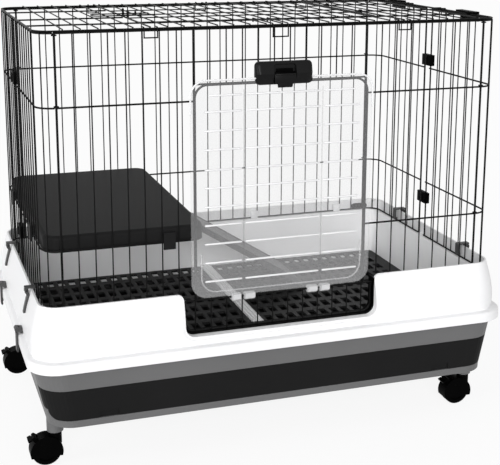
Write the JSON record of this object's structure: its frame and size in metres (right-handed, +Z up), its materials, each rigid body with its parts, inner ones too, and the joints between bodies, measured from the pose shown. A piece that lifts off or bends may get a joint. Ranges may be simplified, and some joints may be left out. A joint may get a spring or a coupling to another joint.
{
  "type": "ferret cage",
  "caption": "Wire small-animal cage on a white tub with a grey base, front drawer, clear drop-down door, platform, ramp and braked casters.",
  "frame": {"origin": "centre of the overall box at floor level", "axes": "+X to the right along the front, +Y from the front to the back, +Z up"},
  "size_m": [0.8084, 0.512, 0.6889],
  "materials": {
    "wire": "satin black powder coat",
    "clear_plastic": "clear, slightly frosted",
    "white_plastic": "satin moulded",
    "grey_plastic": "satin moulded",
    "dark_grey_plastic": "satin moulded",
    "black_plastic": "satin moulded",
    "steel": "plated"
  },
  "bodies": {
    "cage": {"front_panel": "wire", "back_panel": "wire", "corner_panel_fl": "wire", "corner_panel_fr": "wire", "corner_panel_bl": "wire", "corner_panel_br": "wire", "top_panel": "wire", "top_edge_clips": "black_plastic", "tub": "white_plastic", "floor_grid_left": "black_plastic", "floor_grid_right": "black_plastic", "floor_divider": "white_plastic", "ring": "white_plastic", "base": "grey_plastic", "rim_clip_stems": "dark_grey_plastic", "base_latch_pivots": "dark_grey_plastic", "platform": "black_plastic"},
    "front_door": {"door_panel": "clear_plastic", "door_hinges": "white_plastic", "latch_body": "black_plastic"},
    "latch_button": {"latch_button": "black_plastic"},
    "top_door": {"top_door": "wire"},
    "top_bolt": {"top_slide_bolt": "wire"},
    "top_latch": {"top_front_latch": "wire"},
    "drawer": {"drawer_front": "black_plastic", "drawer_pan": "grey_plastic"},
    "ramp": {"ramp": "dark_grey_plastic"},
    "side_clip_lu": {"side_clip_lu": "black_plastic"},
    "side_clip_ll": {"side_clip_ll": "black_plastic"},
    "side_clip_ru": {"side_clip_ru": "black_plastic"},
    "side_clip_rl": {"side_clip_rl": "black_plastic"},
    "rim_clip_fl": {"rim_clip_fl": "dark_grey_plastic"},
    "base_latch_fl": {"base_latch_fl": "dark_grey_plastic"},
    "caster_fl": {"caster_fl_hood": "black_plastic", "caster_fl_stem": "steel", "caster_fl_axle": "steel"},
    "wheel_fl": {"caster_fl_wheel": "black_plastic"},
    "brake_fl": {"caster_fl_brake": "black_plastic"},
    "rim_clip_fr": {"rim_clip_fr": "dark_grey_plastic"},
    "base_latch_fr": {"base_latch_fr": "dark_grey_plastic"},
    "caster_fr": {"caster_fr_hood": "black_plastic", "caster_fr_stem": "steel", "caster_fr_axle": "steel"},
    "wheel_fr": {"caster_fr_wheel": "black_plastic"},
    "brake_fr": {"caster_fr_brake": "black_plastic"},
    "rim_clip_bl": {"rim_clip_bl": "dark_grey_plastic"},
    "base_latch_bl": {"base_latch_bl": "dark_grey_plastic"},
    "caster_bl": {"caster_bl_hood": "black_plastic", "caster_bl_stem": "steel", "caster_bl_axle": "steel"},
    "wheel_bl": {"caster_bl_wheel": "black_plastic"},
    "brake_bl": {"caster_bl_brake": "black_plastic"},
    "rim_clip_br": {"rim_clip_br": "dark_grey_plastic"},
    "base_latch_br": {"base_latch_br": "dark_grey_plastic"},
    "caster_br": {"caster_br_hood": "black_plastic", "caster_br_stem": "steel", "caster_br_axle": "steel"},
    "wheel_br": {"caster_br_wheel": "black_plastic"},
    "brake_br": {"caster_br_brake": "black_plastic"}
  },
  "joints": [
    {"name": "front_door_hinge", "type": "hinge", "parent": "cage", "child": "front_door", "pos_m": [0, -0.224, 0.254], "axis": [1, 0, 0], "range_deg": [0, 100]},
    {"name": "latch_slide", "type": "slide", "parent": "front_door", "child": "latch_button", "axis": [0, 0, 1], "range_m": [0, 0.006], "stiffness_N_per_m": 120, "springref_m": -0.004},
    {"name": "top_door_hinge", "type": "hinge", "parent": "cage", "child": "top_door", "pos_m": [0.2032, 0, 0.6776], "axis": [0, 1, 0], "range_deg": [0, 170]},
    {"name": "top_bolt_slide", "type": "slide", "parent": "top_door", "child": "top_bolt", "axis": [1, 0, 0], "range_m": [0, 0.045]},
    {"name": "top_latch_swing", "type": "hinge", "parent": "cage", "child": "top_latch", "pos_m": [0, -0.132, 0.6754], "axis": [-1, 0, 0], "range_deg": [0, 100]},
    {"name": "drawer_slide", "type": "slide", "parent": "cage", "child": "drawer", "axis": [0, -1, 0], "range_m": [0, 0.33]},
    {"name": "ramp_hinge", "type": "hinge", "parent": "cage", "child": "ramp", "pos_m": [-0.115, 0.0975, 0.33], "axis": [0, -1, 0], "range_deg": [0, 80]},
    {"name": "side_clip_lu_slide", "type": "slide", "parent": "cage", "child": "side_clip_lu", "axis": [0, 0, 1], "range_m": [0, 0.012]},
    {"name": "side_clip_ll_slide", "type": "slide", "parent": "cage", "child": "side_clip_ll", "axis": [0, 0, 1], "range_m": [0, 0.012]},
    {"name": "side_clip_ru_slide", "type": "slide", "parent": "cage", "child": "side_clip_ru", "axis": [0, 0, 1], "range_m": [0, 0.012]},
    {"name": "side_clip_rl_slide", "type": "slide", "parent": "cage", "child": "side_clip_rl", "axis": [0, 0, 1], "range_m": [0, 0.012]},
    {"name": "rim_clip_fl_hinge", "type": "hinge", "parent": "cage", "child": "rim_clip_fl", "pos_m": [-0.3855, -0.1285, 0.2665], "axis": [0, -1, 0], "range_deg": [0, 110]},
    {"name": "base_latch_fl_hinge", "type": "hinge", "parent": "cage", "child": "base_latch_fl", "pos_m": [-0.4008, -0.104, 0.196], "axis": [0, 1, 0], "range_deg": [0, 70]},
    {"name": "caster_fl_swivel", "type": "hinge", "parent": "cage", "child": "caster_fl", "pos_m": [-0.357, -0.185, 0.05], "axis": [0, 0, 1], "continuous": true},
    {"name": "wheel_fl_spin", "type": "hinge", "parent": "caster_fl", "child": "wheel_fl", "pos_m": [-0.372, -0.185, 0.023], "axis": [0, 1, 0], "continuous": true},
    {"name": "brake_fl_tilt", "type": "hinge", "parent": "caster_fl", "child": "brake_fl", "pos_m": [-0.3902, -0.185, 0.0461], "axis": [0, -1, 0], "range_deg": [0, 15]},
    {"name": "rim_clip_fr_hinge", "type": "hinge", "parent": "cage", "child": "rim_clip_fr", "pos_m": [0.3855, -0.1285, 0.2665], "axis": [0, 1, 0], "range_deg": [0, 110]},
    {"name": "base_latch_fr_hinge", "type": "hinge", "parent": "cage", "child": "base_latch_fr", "pos_m": [0.4008, -0.104, 0.196], "axis": [0, -1, 0], "range_deg": [0, 70]},
    {"name": "caster_fr_swivel", "type": "hinge", "parent": "cage", "child": "caster_fr", "pos_m": [0.357, -0.185, 0.05], "axis": [0, 0, 1], "continuous": true},
    {"name": "wheel_fr_spin", "type": "hinge", "parent": "caster_fr", "child": "wheel_fr", "pos_m": [0.342, -0.185, 0.023], "axis": [0, 1, 0], "continuous": true},
    {"name": "brake_fr_tilt", "type": "hinge", "parent": "caster_fr", "child": "brake_fr", "pos_m": [0.3238, -0.185, 0.0461], "axis": [0, -1, 0], "range_deg": [0, 15]},
    {"name": "rim_clip_bl_hinge", "type": "hinge", "parent": "cage", "child": "rim_clip_bl", "pos_m": [-0.3855, 0.123, 0.2665], "axis": [0, -1, 0], "range_deg": [0, 110]},
    {"name": "base_latch_bl_hinge", "type": "hinge", "parent": "cage", "child": "base_latch_bl", "pos_m": [-0.4008, 0.126, 0.196], "axis": [0, 1, 0], "range_deg": [0, 70]},
    {"name": "caster_bl_swivel", "type": "hinge", "parent": "cage", "child": "caster_bl", "pos_m": [-0.357, 0.185, 0.05], "axis": [0, 0, 1], "continuous": true},
    {"name": "wheel_bl_spin", "type": "hinge", "parent": "caster_bl", "child": "wheel_bl", "pos_m": [-0.372, 0.185, 0.023], "axis": [0, 1, 0], "continuous": true},
    {"name": "brake_bl_tilt", "type": "hinge", "parent": "caster_bl", "child": "brake_bl", "pos_m": [-0.3902, 0.185, 0.0461], "axis": [0, -1, 0], "range_deg": [0, 15]},
    {"name": "rim_clip_br_hinge", "type": "hinge", "parent": "cage", "child": "rim_clip_br", "pos_m": [0.3855, 0.123, 0.2665], "axis": [0, 1, 0], "range_deg": [0, 110]},
    {"name": "base_latch_br_hinge", "type": "hinge", "parent": "cage", "child": "base_latch_br", "pos_m": [0.4008, 0.126, 0.196], "axis": [0, -1, 0], "range_deg": [0, 70]},
    {"name": "caster_br_swivel", "type": "hinge", "parent": "cage", "child": "caster_br", "pos_m": [0.357, 0.185, 0.05], "axis": [0, 0, 1], "continuous": true},
    {"name": "wheel_br_spin", "type": "hinge", "parent": "caster_br", "child": "wheel_br", "pos_m": [0.342, 0.185, 0.023], "axis": [0, 1, 0], "continuous": true},
    {"name": "brake_br_tilt", "type": "hinge", "parent": "caster_br", "child": "brake_br", "pos_m": [0.3238, 0.185, 0.0461], "axis": [0, -1, 0], "range_deg": [0, 15]}
  ]
}
